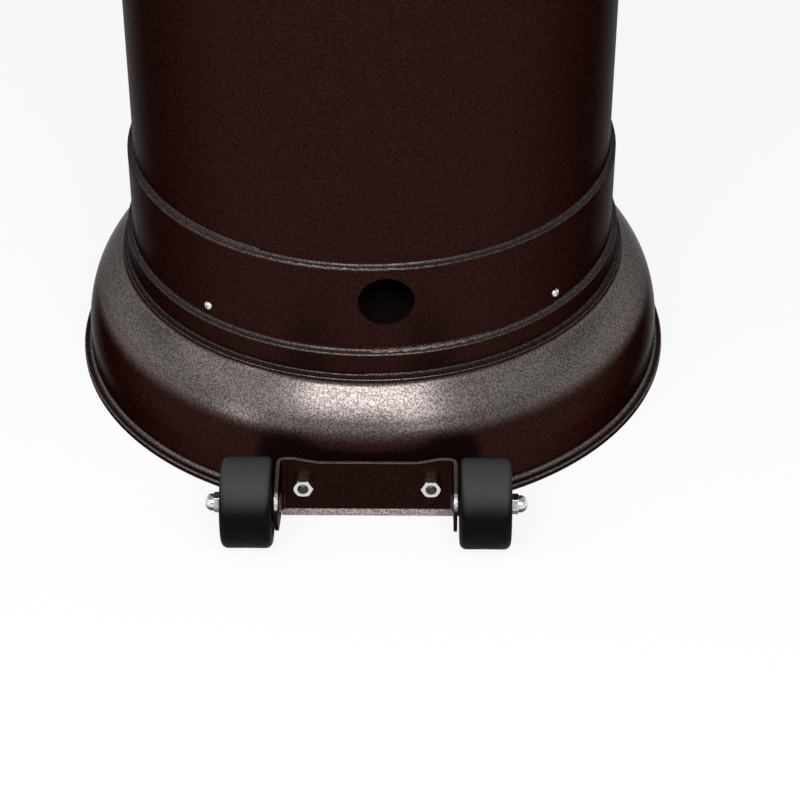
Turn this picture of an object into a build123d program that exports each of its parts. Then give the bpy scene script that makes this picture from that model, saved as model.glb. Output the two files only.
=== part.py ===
"""Free-standing gas patio heater: base dish with wheels, tank housing, post, burner head, reflector.

The origin is on the floor under the post, +Z is up, and the wheels are on the -Y side.
Lengths are in millimetres and angles in degrees.
"""
import os
from math import atan2, cos, degrees, radians, sin, sqrt, tan

from build123d import *

os.makedirs("parts", exist_ok=True)

# Clearances between mating pieces
slip = 0.3
hole_play = 0.3
running = 0.06
thread_play = 0.05
side_play = 0.3
contact_gap = 0.05

# Base dish: rolled lip, steep wall, shoulder, hollow slope, ledge for the housing, raised deck
dish_sheet = 1.5
dish_spread = 34.0
lip_width = 7.5
lip_height = 4.5
lip_roll = 2.0
wall_foot_bend = 4.5
wall_lean = 1.6
wall_height = 48.9
shoulder_bend = 17.0
slope_sag = 1.5
slope_bend = 120.0
ledge_margin = 2.8
ledge_height = 92.5
ledge_bend = 3.0
plug_foot_bend = 4.0
deck_rise = 37.5
deck_bend = 4.0

# Tank locating ring on the deck
ring_radius = 106.0
ring_sheet = 2.0
ring_height = 10.0
ring_round = 0.9

# Tank housing: one rolled sheet with two swaged steps at its foot and a turned-in top edge
housing_sheet = 1.0
housing_radius = 180.0
swage_step = 4.6
swage_rise = 1.2
foot_turn_out = 4.0
foot_bend = 1.5
tier_height = 19.0
band_height = 70.0
crest_bend = 2.2
root_bend = 3.2
housing_top_height = 640.0
top_turn_in = 5.0
top_bend = 3.0

# Hose hole and fixing screws, clocked a little from the wheel side
port_angle = 4.2
port_rise = 42.5
port_radius = 20.0
screw_spread = 43.0
screw_margin = 6.5
screw_radius = 2.0
screw_head_radius = 3.5
screw_head_height = 2.4
screw_head_angle = 25.0
screw_length = 10.0

# Door over the tank opening, on the side away from the wheels
door_sheet = 1.0
opening_sill = 12.0
opening_drop = 34.0
opening_cut = 48.0
opening_half_angle = 62.0
door_overlap = 10.0
pull_radius = 13.0
pull_length = 22.0
pull_head_length = 11.0
pull_round = 3.6
pull_inset = 26.0
pull_neck_radius = 6.0
pull_screw_radius = 2.5
magnet_width = 14.0
magnet_height = 40.0
magnet_depth = 9.0
magnet_corner = 1.8

# Door hinges
hinge_offset = 7.0
hinge_step = 6.0
hinge_sheet = 1.5
hinge_barrel_radius = 4.0
hinge_pin_radius = 2.0
hinge_pin_head_radius = 3.6
hinge_pin_head_height = 2.0
hinge_leaf_width = 18.0
hinge_leaf_height = 64.0
hinge_knuckle = 30.0
hinge_inset = 100.0
hinge_root_share = 0.125
hinge_lap_share = 0.25

# Housing top and what stands on it
top_sheet = 1.5
top_skirt = 13.0
top_seat_width = 20.0
top_cone_rise = 26.0
top_pad_radius = 72.0
top_cone_bend = 12.0
hose_way_radius = 20.0
stiffener_thickness = 5.0
flange_thickness = 4.0
flange_radius = 64.0
flange_bolt_circle = 49.0
flange_bolt_radius = 4.0
flange_bolt_head = 6.5
flange_bolt_head_height = 5.3
flange_bolts = 3
socket_sheet = 2.0
socket_height = 80.0
collar_sheet = 1.2
collar_margin = 6.0
collar_height = 26.0
collar_bend = 14.0

# Post
post_radius = 30.0
post_sheet = 1.5
post_length = 1080.0

# Wheel bracket
bracket_sheet = 2.4
bracket_half_width = 64.4
bracket_stand_off = 8.0
bracket_foot = 5.75
bracket_top = 51.15
bracket_bend = 6.0
bracket_lip = 5.6
lip_angle = 30.0
lip_root = 7.0
lip_bend = 2.5
ear_end_radius = 20.0
dip_depth = 3.6
dip_half_width = 36.0
dip_run = 16.0
bracket_bolt_x = 46.0
bracket_bolt_z = 28.65
bracket_bolt_radius = 4.0
saddle_radius = 8.0
saddle_head_depth = 5.0

# Wheels on the bracket's ears
wheel_radius = 32.5
wheel_width = 36.5
wheel_corner = 5.0
wheel_lift = 1.0
wheel_hub_radius = 12.0
wheel_recess = 6.0
wheel_rim = 8.0
axle_stand_off = 30.0
axle_radius = 4.0
axle_head_radius = 7.0
axle_head_height = 1.6
axle_head_round = 1.1
axle_washer_radius = 9.0
axle_washer_thickness = 1.4

# Nuts: plain ones on the bracket's bolts, dome nuts on the axles and the reflector's studs
nut_flats = 13.0
nut_corner_angle = 60.0
plain_nut_height = 6.5
bolt_end_stand = 1.2
bolt_end_chamfer = 0.8
nut_hex_height = 5.0
nut_dome_radius = 6.2
nut_dome_height = 6.5
nut_dome_round = 5.2
nut_wall = 2.5

# Control housing on top of the post
head_sheet = 1.5
head_radius = 92.0
head_sleeve = 24.0
head_cone_rise = 40.0
head_drum_height = 76.0
head_bend = 8.0
head_top_bend = 4.0
head_top_inner = 62.0
post_entry = 20.0
shelf_thickness = 3.0

# Gas valve, stem, knob
valve_half_width = 18.0
valve_height = 95.0
valve_corner = 4.5
inlet_radius = 7.0
inlet_length = 26.0
shelf_hole_play = 3.0
jet_radius = 7.0
jet_length = 16.0
jet_entry = 8.0
boss_radius = 9.0
boss_reach = 42.0
stem_rise = 80.0
stem_radius = 4.0
stem_flat = 1.2
stem_depth = 20.0
knob_radius = 21.0
knob_depth = 17.0
knob_wall = 3.0
knob_round = 1.5
knob_angle = 4.0
knob_travel = 3.0
knob_gap = 1.0
grip_width = 9.0
grip_length = 35.6
grip_height = 5.0

# Igniter and tilt switch
igniter_angle = 215.0
igniter_radius = 9.0
igniter_depth = 34.0
igniter_flange_radius = 12.5
igniter_flange = 3.0
button_radius = 6.0
button_travel = 5.0
button_stand = 8.0
button_depth = 18.0
button_round = 1.0
tilt_width = 14.0
tilt_depth = 10.0
tilt_height = 22.0
tilt_corner = 2.3

# Burner and emitter
plate_sheet = 2.0
plate_rim = 12.0
burner_tube_radius = 12.0
burner_tube_sheet = 1.5
burner_radius = 52.0
burner_height = 34.0
burner_stand = 4.0
burner_ports = 12
burner_port_radius = 3.0
burner_port_height = 17.0
burner_port_depth = 13.0
burner_cavity = 17.0
burner_round = 8.5
pilot_radius = 4.0
pilot_reach = 70.0
pilot_height = 46.0
pilot_foot = 11.0
pilot_foot_thickness = 2.0
pilot_foot_corner = 3.7
pilot_round = 2.0
screen_radius = 110.0
screen_sheet = 1.2
screen_height = 220.0
slot_width = 8.0
slot_height = 30.0
slot_rows = 5
slot_columns = 24
slot_pitch = 40.0
slot_cut = 7.2
cap_sheet = 1.5
cap_skirt = 14.0

# Reflector on its three studs
stud_circle = 70.0
stud_radius = 5.0
stud_thread_radius = 3.0
stud_length = 70.0
stud_tail = 8.0
studs = 3
reflector_sheet = 1.2
reflector_radius = 413.0
reflector_hub_radius = 120.0
reflector_drop = 62.0
reflector_crown = 9.0
reflector_rim = 12.0
reflector_hub_bend = 60.0
reflector_crown_bend = 500.0
reflector_rim_bend = 5.0

# Places that follow from the sizes above
band_radius = housing_radius + swage_step
tier_radius = band_radius + swage_step
foot_radius = tier_radius + foot_turn_out
ledge_radius = foot_radius + ledge_margin
rim_radius = ledge_radius + dish_spread
lower_swage = ledge_height + tier_height
upper_swage = lower_swage + band_height
port_height = lower_swage + port_rise
wall_foot_radius = rim_radius - lip_width
wall_top_radius = wall_foot_radius - wall_lean
plug_radius = band_radius - housing_sheet - slip
screw_height = lower_swage + swage_rise + screw_margin + screw_head_radius
screw_hole_depth = 2 * screw_length
deck_height = ledge_height + deck_rise
opening_low = deck_height + opening_sill
opening_high = housing_top_height - opening_drop
door_radius = housing_radius + slip + door_sheet
door_low = opening_low - door_overlap
door_high = opening_high + door_overlap
door_half_angle = opening_half_angle + degrees(door_overlap / housing_radius)
hinge_axis_radius = housing_radius + hinge_offset
hinge_azimuth = 90 + door_half_angle + degrees(hinge_step / hinge_axis_radius)
top_radius = housing_radius + slip + top_sheet
top_seat_height = housing_top_height + top_sheet
pad_height = top_seat_height + top_cone_rise
post_foot = pad_height + flange_thickness
post_top = post_foot + post_length
head_foot = post_top - post_entry
head_sleeve_radius = post_radius + slip + head_sheet
head_top = head_foot + head_sleeve + head_cone_rise + head_drum_height
shelf_top = post_top + shelf_thickness
stem_axis_height = shelf_top + stem_rise
plate_top = head_top + plate_sheet
screen_top = plate_top + screen_height
cap_top = screen_top + cap_sheet
reflector_under = cap_top + stud_length
reflector_top = reflector_under + reflector_sheet
plate_back = wall_foot_radius + bracket_stand_off
plate_front = plate_back + bracket_sheet
ear_inner = bracket_half_width - bracket_sheet
axle_reach = rim_radius + axle_stand_off
axle_height = wheel_radius + wheel_lift
wheel_inner = bracket_half_width + axle_washer_thickness + side_play
wheel_outer = wheel_inner + wheel_width
axle_nut_seat = wheel_outer + side_play


def section_plane(azimuth):
    """Upright plane through the post's axis: local x points outward at the azimuth, local y up."""
    outward = (cos(radians(azimuth)), sin(radians(azimuth)), 0)
    return Plane(origin=(0, 0, 0), x_dir=outward, z_dir=(outward[1], -outward[0], 0))


def side_plane(angle, radius, height):
    """Plane that faces outward at an angle from the wheel side, turned toward +X."""
    outward = Vector(sin(radians(angle)), -cos(radians(angle)), 0)
    along = Vector(cos(radians(angle)), sin(radians(angle)), 0)
    return Plane(origin=outward * radius + Vector(0, 0, height), x_dir=along, z_dir=outward)


def sheet_section(points, bends, sheet, azimuth=0):
    """Section of a bent sheet whose points follow its outer face, with the sheet on the left."""
    with BuildSketch(section_plane(azimuth)) as section:
        with BuildLine():
            outer_face = FilletPolyline(*points, radius=bends)
            offset(outer_face, amount=sheet, side=Side.LEFT)
        make_face()
    return section.sketch


def dish_wall(grow):
    """Cone that the dish's steep wall lies on, made wider by grow, for pieces that seat on it."""
    cone = Cone(
        wall_foot_radius + grow,
        wall_top_radius + grow,
        wall_height - lip_height,
        align=(Align.CENTER, Align.CENTER, Align.MIN),
        mode=Mode.PRIVATE,
    )
    return Pos(0, 0, lip_height) * cone


def housing_points(low, high, out=0.0):
    """Outer face of the housing's swaged wall from low to high, moved outward by out."""
    upper_lead = out * tan(atan2(band_radius - housing_radius, swage_rise) / 2)
    return [
        (band_radius + out, low),
        (band_radius + out, upper_swage + upper_lead),
        (housing_radius + out, upper_swage + swage_rise + upper_lead),
        (housing_radius + out, high),
    ]


def write(piece, name):
    """Label a finished sub-part and write it as its own file."""
    piece.label = name
    export_step(piece, f"parts/{name}.step")


def screw_seats(radius, height):
    """Planes of the four screws spread around the housing, facing outward at the radius."""
    angles = [port_angle + turn + side * screw_spread for turn in (0, 180) for side in (-1, 1)]
    return [side_plane(angle, radius, height) for angle in angles]


def screw_set(radius, height):
    """Four pan-head screws around the housing, their heads seated at the radius."""
    with BuildPart() as screws:
        for seat in screw_seats(radius + contact_gap, height):
            with BuildSketch(seat):
                Circle(screw_head_radius)
            extrude(amount=screw_head_height, taper=screw_head_angle)
            with BuildSketch(seat):
                Circle(screw_radius)
            extrude(amount=-screw_length)
    return screws.part


def plain_nut(seat, bolt_radius):
    """Hexagon nut with the corners of its outer face turned off, seated on the plane."""
    corner_run = plain_nut_height * tan(radians(nut_corner_angle))
    with BuildPart(seat) as nut:
        with BuildSketch(seat):
            RegularPolygon(radius=nut_flats / 2, side_count=6, major_radius=False)
            Circle(bolt_radius + thread_play, mode=Mode.SUBTRACT)
        extrude(amount=plain_nut_height)
        Cone(
            nut_flats / 2 + corner_run,
            nut_flats / 2,
            plain_nut_height,
            align=(Align.CENTER, Align.CENTER, Align.MIN),
            mode=Mode.INTERSECT,
        )
    return nut.part


def dome_nut(seat, bolt_radius):
    """Hexagon nut closed by a dome, seated on the plane, with a blind bore for its bolt."""
    with BuildPart() as nut:
        with BuildSketch(seat):
            RegularPolygon(radius=nut_flats / 2, side_count=6, major_radius=False)
        extrude(amount=nut_hex_height)
        with BuildSketch(seat.offset(nut_hex_height)):
            Circle(nut_dome_radius)
        extrude(amount=nut_dome_height)
        dome_face = nut.faces().sort_by(Axis(seat.origin, seat.z_dir))[-1]
        fillet(dome_face.edges(), nut_dome_round)
        with BuildSketch(seat):
            Circle(bolt_radius + thread_play)
        extrude(amount=nut_hex_height + nut_dome_height - nut_wall, mode=Mode.SUBTRACT)
    return nut.part


# Base dish
slope_middle = (
    (wall_top_radius + ledge_radius) / 2 - slope_sag,
    (wall_height + ledge_height) / 2,
)
dish_face = [
    (rim_radius, 0),
    (rim_radius, lip_height),
    (wall_foot_radius, lip_height),
    (wall_top_radius, wall_height),
    slope_middle,
    (ledge_radius, ledge_height),
    (plug_radius, ledge_height),
    (plug_radius, deck_height),
    (0, deck_height),
]
dish_bends = [lip_roll, wall_foot_bend, shoulder_bend, slope_bend, ledge_bend, plug_foot_bend, deck_bend]
with BuildPart() as base_dish:
    revolve(sheet_section(dish_face, dish_bends, dish_sheet), axis=Axis.Z)
    with BuildSketch(Plane.XZ.offset(plate_back)):
        with Locations((-bracket_bolt_x, bracket_bolt_z), (bracket_bolt_x, bracket_bolt_z)):
            Circle(bracket_bolt_radius + hole_play)
    extrude(amount=-plate_back / 2, mode=Mode.SUBTRACT)
    for seat in screw_seats(band_radius, screw_height):
        with BuildSketch(seat):
            Circle(screw_radius + thread_play)
        extrude(amount=-screw_hole_depth, mode=Mode.SUBTRACT)
write(base_dish.part, "base_dish")

# Tank locating ring on the deck
with BuildPart() as tank_ring:
    with BuildSketch(Plane.XY.offset(deck_height)):
        Circle(ring_radius)
        Circle(ring_radius - ring_sheet, mode=Mode.SUBTRACT)
    extrude(amount=ring_height)
    fillet(tank_ring.faces().sort_by(Axis.Z)[-1].edges(), ring_round)
write(tank_ring.part, "tank_ring")

# Wheel bracket: a plate folded forward into two ears, with a flared lip along its foot and a dip in its top
bracket_outline = [
    (-bracket_half_width, -(axle_reach + ear_end_radius)),
    (-bracket_half_width, -plate_back),
    (bracket_half_width, -plate_back),
    (bracket_half_width, -(axle_reach + ear_end_radius)),
]
lip_fold = bracket_foot + bracket_sheet * tan(radians(lip_angle / 2))
with BuildPart() as wheel_bracket:
    with BuildSketch(Plane.XY.offset(bracket_foot)):
        with BuildLine():
            folded_face = FilletPolyline(*bracket_outline, radius=bracket_bend)
            offset(folded_face, amount=bracket_sheet, side=Side.RIGHT)
        make_face()
    extrude(amount=bracket_top - bracket_foot)
    with BuildSketch(Plane.YZ):
        with Locations((-plate_back, bracket_foot)):
            Rectangle(bracket_bend + bracket_sheet, bracket_top - bracket_foot, align=(Align.MAX, Align.MIN))
        with Locations((-axle_reach, axle_height)):
            Circle(ear_end_radius)
        make_hull()
    extrude(amount=bracket_half_width, both=True, mode=Mode.INTERSECT)
    with BuildSketch(Plane.XZ.offset(plate_back)):
        with BuildLine():
            FilletPolyline(
                (-dip_half_width - dip_run, bracket_top),
                (-dip_half_width, bracket_top - dip_depth),
                (dip_half_width, bracket_top - dip_depth),
                (dip_half_width + dip_run, bracket_top),
                radius=dip_run,
            )
            Line((dip_half_width + dip_run, bracket_top), (-dip_half_width - dip_run, bracket_top))
        make_face()
    extrude(amount=bracket_sheet, mode=Mode.SUBTRACT)
    with BuildSketch(Plane.YZ):
        with BuildLine():
            lip_face = FilletPolyline(
                (-plate_front, lip_fold + lip_root),
                (-plate_front, lip_fold),
                (
                    -plate_front - bracket_lip * sin(radians(lip_angle)),
                    lip_fold - bracket_lip * cos(radians(lip_angle)),
                ),
                radius=lip_bend,
            )
            offset(lip_face, amount=bracket_sheet, side=Side.LEFT)
        make_face()
    extrude(amount=ear_inner, both=True)
    with BuildSketch(Plane.XZ.offset(plate_back)):
        with Locations((-bracket_bolt_x, bracket_bolt_z), (bracket_bolt_x, bracket_bolt_z)):
            Circle(bracket_bolt_radius + hole_play)
    extrude(amount=bracket_sheet, mode=Mode.SUBTRACT)
    with BuildSketch(Plane.YZ):
        with Locations((-axle_reach, axle_height)):
            Circle(axle_radius + hole_play)
    extrude(amount=bracket_half_width, both=True, mode=Mode.SUBTRACT)
write(wheel_bracket.part, "wheel_bracket")

# Bolts, saddle spacers and nuts that hold the bracket to the dish's round wall
bolt_grip = bracket_sheet + plain_nut_height + bolt_end_stand
saddle_edge = bracket_bolt_x + saddle_radius
spacer_reach = plate_back - sqrt(wall_top_radius**2 - saddle_edge**2)
head_reach = spacer_reach + dish_sheet + saddle_head_depth
for side_name, side in (("left", -1), ("right", 1)):
    bolt_axis = Plane(
        origin=(side * bracket_bolt_x, -plate_back, bracket_bolt_z), x_dir=(1, 0, 0), z_dir=(0, -1, 0)
    )
    with BuildPart() as bracket_spacer:
        with BuildSketch(bolt_axis):
            Circle(saddle_radius)
            Circle(bracket_bolt_radius + hole_play, mode=Mode.SUBTRACT)
        extrude(amount=-spacer_reach - dish_sheet)
        add(dish_wall(contact_gap), mode=Mode.SUBTRACT)
    write(bracket_spacer.part, f"bracket_spacer_{side_name}")

    with BuildPart() as bracket_bolt:
        with BuildSketch(bolt_axis):
            Circle(saddle_radius)
        extrude(amount=-head_reach)
        add(dish_wall(-dish_sheet - contact_gap), mode=Mode.INTERSECT)
        with BuildSketch(bolt_axis.offset(bolt_grip)):
            Circle(bracket_bolt_radius)
        extrude(amount=-bolt_grip - head_reach)
        bolt_end_face = bracket_bolt.faces().sort_by(Axis(bolt_axis.origin, bolt_axis.z_dir))[-1]
        chamfer(bolt_end_face.edges(), bolt_end_chamfer)
    write(bracket_bolt.part, f"bracket_bolt_{side_name}")
    write(plain_nut(bolt_axis.offset(bracket_sheet), bracket_bolt_radius), f"bracket_nut_{side_name}")

# Wheels on their axle bolts, outside the ears
for side_name, side in (("left", -1), ("right", 1)):
    axle = Plane(origin=(0, -axle_reach, axle_height), x_dir=(0, 1, 0), z_dir=(side, 0, 0))
    bolt_end = axle_nut_seat + nut_hex_height + nut_dome_height - nut_wall - side_play
    with BuildPart(axle) as wheel:
        with Locations((0, 0, wheel_inner)):
            Cylinder(wheel_radius, wheel_width, align=(Align.CENTER, Align.CENTER, Align.MIN))
        fillet(wheel.edges().filter_by(GeomType.CIRCLE), wheel_corner)
        for face_plane in (axle.offset(wheel_inner), axle.offset(wheel_outer - wheel_recess)):
            with BuildSketch(face_plane):
                Circle(wheel_radius - wheel_rim)
                Circle(wheel_hub_radius, mode=Mode.SUBTRACT)
            extrude(amount=wheel_recess, mode=Mode.SUBTRACT)
        with BuildSketch(axle.offset(wheel_inner)):
            Circle(axle_radius + running)
        extrude(amount=wheel_width, mode=Mode.SUBTRACT)
    write(wheel.part, f"wheel_{side_name}")

    with BuildPart(axle) as axle_bolt:
        with BuildSketch(axle.offset(ear_inner - axle_head_height)):
            Circle(axle_head_radius)
        extrude(amount=axle_head_height)
        fillet(axle_bolt.faces().sort_by(Axis(axle.origin, axle.z_dir))[0].edges(), axle_head_round)
        with BuildSketch(axle.offset(ear_inner)):
            Circle(axle_radius)
        extrude(amount=bolt_end - ear_inner)
    write(axle_bolt.part, f"axle_bolt_{side_name}")

    with BuildPart(axle) as axle_washer:
        with BuildSketch(axle.offset(bracket_half_width)):
            Circle(axle_washer_radius)
            Circle(axle_radius + hole_play, mode=Mode.SUBTRACT)
        extrude(amount=axle_washer_thickness)
    write(axle_washer.part, f"axle_washer_{side_name}")
    write(dome_nut(axle.offset(axle_nut_seat), axle_radius), f"axle_nut_{side_name}")

# Tank housing
housing_face = [
    (foot_radius, ledge_height + housing_sheet),
    (tier_radius, ledge_height + housing_sheet),
    (tier_radius, lower_swage),
    *housing_points(lower_swage + swage_rise, housing_top_height),
    (housing_radius - top_turn_in, housing_top_height),
]
housing_bends = [foot_bend, crest_bend, root_bend, crest_bend, root_bend, top_bend]
top_screw_height = housing_top_height - top_skirt / 2
with BuildPart() as tank_housing:
    revolve(sheet_section(housing_face, housing_bends, housing_sheet), axis=Axis.Z)
    with BuildSketch(section_plane(90 - opening_half_angle)):
        with Locations((housing_radius, opening_low)):
            Rectangle(opening_cut, opening_high - opening_low, align=(Align.CENTER, Align.MIN))
    revolve(axis=Axis.Z, revolution_arc=2 * opening_half_angle, mode=Mode.SUBTRACT)
    with BuildSketch(side_plane(port_angle, tier_radius, port_height)):
        Circle(port_radius)
    extrude(amount=-port_radius, mode=Mode.SUBTRACT)
    for seat in screw_seats(tier_radius, screw_height):
        with BuildSketch(seat):
            Circle(screw_radius + hole_play)
        extrude(amount=-screw_hole_depth, mode=Mode.SUBTRACT)
    for seat in screw_seats(top_radius + slip, top_screw_height):
        with BuildSketch(seat):
            Circle(screw_radius + thread_play)
        extrude(amount=-screw_hole_depth, mode=Mode.SUBTRACT)
write(tank_housing.part, "tank_housing")
write(screw_set(band_radius, screw_height), "housing_screws")

# Tank door: a part of the same swaged wall, a sheet further out, that covers the opening
door_start = 90 - door_half_angle
door_face = housing_points(door_low, door_high, slip + door_sheet)
pull_azimuth = door_start + degrees(pull_inset / door_radius)
pull_seat = side_plane(90 + pull_azimuth, door_radius + contact_gap, (opening_low + opening_high) / 2)
with BuildPart() as tank_door:
    door_section = sheet_section(door_face, [crest_bend, root_bend], door_sheet, door_start)
    revolve(door_section, axis=Axis.Z, revolution_arc=2 * door_half_angle)
    with BuildSketch(pull_seat):
        Circle(pull_screw_radius + hole_play)
    extrude(amount=-pull_length, mode=Mode.SUBTRACT)
write(tank_door.part, "tank_door")

# Pull knob on the door, with the screw that holds it from inside
pull_grip = door_sheet + 2 * contact_gap + pull_neck_radius**2 / (2 * (door_radius - door_sheet))
with BuildPart() as door_pull:
    with BuildSketch(pull_seat):
        Circle(pull_neck_radius)
    extrude(amount=pull_length)
    with BuildSketch(pull_seat.offset(pull_length - pull_head_length)):
        Circle(pull_radius)
    extrude(amount=pull_head_length)
    fillet(door_pull.faces().sort_by(Axis(pull_seat.origin, pull_seat.z_dir))[-1].edges(), pull_round)
    with BuildSketch(pull_seat):
        Circle(pull_screw_radius)
    extrude(amount=-pull_grip)
    with BuildSketch(pull_seat.offset(-pull_grip)):
        Circle(pull_neck_radius)
    extrude(amount=-door_sheet)
write(door_pull.part, "door_pull")

# Magnet inside the housing wall, behind the door's free edge
magnet_azimuth = 90 - opening_half_angle - degrees(magnet_width / housing_radius)
magnet_sag = (magnet_width / 2) ** 2 / (2 * (housing_radius - housing_sheet))
magnet_seat = side_plane(
    90 + magnet_azimuth, housing_radius - housing_sheet - magnet_sag - contact_gap, pull_seat.origin.Z
)
with BuildPart() as catch_magnet:
    with BuildSketch(magnet_seat):
        RectangleRounded(magnet_width, magnet_height, magnet_corner)
    extrude(amount=-magnet_depth)
write(catch_magnet.part, "catch_magnet")

# Hinges: a leaf on the housing, a leaf on the door, and a pin through their knuckles
hinge_point = (
    hinge_axis_radius * cos(radians(hinge_azimuth)),
    hinge_axis_radius * sin(radians(hinge_azimuth)),
)
leaf_sweep = degrees(hinge_leaf_width / housing_radius)
leaf_start = degrees(hinge_step / housing_radius)


def hinge_leaf(wall_radius, start, sweep, low, knuckles):
    """Leaf bent to the wall, from azimuth start through sweep, with knuckles over given heights."""
    middle = wall_radius + contact_gap + hinge_sheet / 2
    with BuildPart() as leaf:
        with BuildSketch(Plane.XY.offset(low)):
            with BuildLine():
                CenterArc((0, 0), middle, start, sweep)
            trace(line_width=hinge_sheet)
        extrude(amount=hinge_leaf_height)
        for knuckle_low, knuckle_high in knuckles:
            with BuildSketch(Plane.XY.offset(knuckle_low)):
                with BuildLine():
                    root = CenterArc((0, 0), middle, start, sweep * hinge_root_share)
                    Line(root @ 0, hinge_point)
                trace(line_width=hinge_sheet)
                with Locations(hinge_point):
                    Circle(hinge_barrel_radius)
                    Circle(hinge_pin_radius + running, mode=Mode.SUBTRACT)
            extrude(amount=knuckle_high - knuckle_low)
    return leaf.part


for level, middle_height in (("lower", opening_low + hinge_inset), ("upper", opening_high - hinge_inset)):
    leaf_low = middle_height - hinge_leaf_height / 2
    leaf_high = leaf_low + hinge_leaf_height
    door_knuckle = (middle_height - hinge_knuckle / 2, middle_height + hinge_knuckle / 2)
    fixed_knuckles = (
        (leaf_low, door_knuckle[0] - side_play),
        (door_knuckle[1] + side_play, leaf_high),
    )
    door_leaf = hinge_leaf(
        door_radius, 90 + door_half_angle - leaf_start * hinge_lap_share, -leaf_sweep, leaf_low, (door_knuckle,)
    )
    write(door_leaf, f"hinge_leaf_door_{level}")
    fixed_leaf = hinge_leaf(housing_radius, hinge_azimuth + leaf_start, leaf_sweep, leaf_low, fixed_knuckles)
    write(fixed_leaf, f"hinge_leaf_fixed_{level}")
    with BuildPart() as hinge_pin:
        with BuildSketch(Plane.XY.offset(leaf_low)):
            with Locations(hinge_point):
                Circle(hinge_pin_radius)
        extrude(amount=hinge_leaf_height)
        with BuildSketch(Plane.XY.offset(leaf_high)):
            with Locations(hinge_point):
                Circle(hinge_pin_head_radius)
        extrude(amount=hinge_pin_head_height)
    write(hinge_pin.part, f"hinge_pin_{level}")

# Housing top: skirt over the housing, flat seat, low cone, flat pad for the post
top_face = [
    (top_radius, housing_top_height - top_skirt),
    (top_radius, top_seat_height),
    (top_radius - top_seat_width, top_seat_height),
    (top_pad_radius, pad_height),
    (hose_way_radius, pad_height),
]
with BuildPart() as housing_top:
    revolve(sheet_section(top_face, [top_bend, top_cone_bend, top_cone_bend], top_sheet), axis=Axis.Z)
    for seat in screw_seats(top_radius + slip, top_screw_height):
        with BuildSketch(seat):
            Circle(screw_radius + hole_play)
        extrude(amount=-screw_hole_depth, mode=Mode.SUBTRACT)
    with BuildSketch(Plane.XY.offset(pad_height)):
        with PolarLocations(flange_bolt_circle, flange_bolts):
            Circle(flange_bolt_radius + hole_play)
    extrude(amount=-top_cone_rise, mode=Mode.SUBTRACT)
write(housing_top.part, "housing_top")
write(screw_set(top_radius, top_screw_height), "top_screws")

# Stiffener under the pad, tapped for the flange bolts
stiffener_radius = flange_bolt_circle + flange_bolt_head + flange_bolt_radius
with BuildPart() as top_stiffener:
    with BuildSketch(Plane.XY.offset(pad_height - top_sheet)):
        Circle(stiffener_radius)
        Circle(hose_way_radius, mode=Mode.SUBTRACT)
        with PolarLocations(flange_bolt_circle, flange_bolts):
            Circle(flange_bolt_radius + thread_play, mode=Mode.SUBTRACT)
    extrude(amount=-stiffener_thickness)
write(top_stiffener.part, "top_stiffener")

# Post flange: a plate with a socket that the post slides over
socket_radius = post_radius - post_sheet - slip
with BuildPart() as post_flange:
    with BuildSketch(Plane.XY.offset(pad_height)):
        Circle(flange_radius)
        Circle(hose_way_radius, mode=Mode.SUBTRACT)
        with PolarLocations(flange_bolt_circle, flange_bolts):
            Circle(flange_bolt_radius + hole_play, mode=Mode.SUBTRACT)
    extrude(amount=flange_thickness)
    with BuildSketch(Plane.XY.offset(post_foot)):
        Circle(socket_radius)
        Circle(socket_radius - socket_sheet, mode=Mode.SUBTRACT)
    extrude(amount=socket_height)
write(post_flange.part, "post_flange")

# Bolts through the flange and the pad into the stiffener
for number, spot in enumerate(PolarLocations(flange_bolt_circle, flange_bolts), start=1):
    seat = Plane(origin=(spot.position.X, spot.position.Y, post_foot), z_dir=(0, 0, 1))
    with BuildPart() as flange_bolt:
        with BuildSketch(seat):
            RegularPolygon(radius=flange_bolt_head, side_count=6, major_radius=False)
        extrude(amount=flange_bolt_head_height)
        with BuildSketch(seat):
            Circle(flange_bolt_radius)
        extrude(amount=-flange_thickness - top_sheet - stiffener_thickness)
    write(flange_bolt.part, f"flange_bolt_{number}")

# Post
with BuildPart() as heater_post:
    with BuildSketch(Plane.XY.offset(post_foot)):
        Circle(post_radius)
        Circle(post_radius - post_sheet, mode=Mode.SUBTRACT)
    extrude(amount=post_length)
write(heater_post.part, "heater_post")

# Collar that covers the flange and its bolts
collar_radius = flange_radius + collar_margin
collar_face = [
    (collar_radius, pad_height),
    (collar_radius, pad_height + collar_height),
    (post_radius + slip, pad_height + collar_height),
]
with BuildPart() as post_collar:
    revolve(sheet_section(collar_face, [collar_bend], collar_sheet), axis=Axis.Z)
write(post_collar.part, "post_collar")

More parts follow.
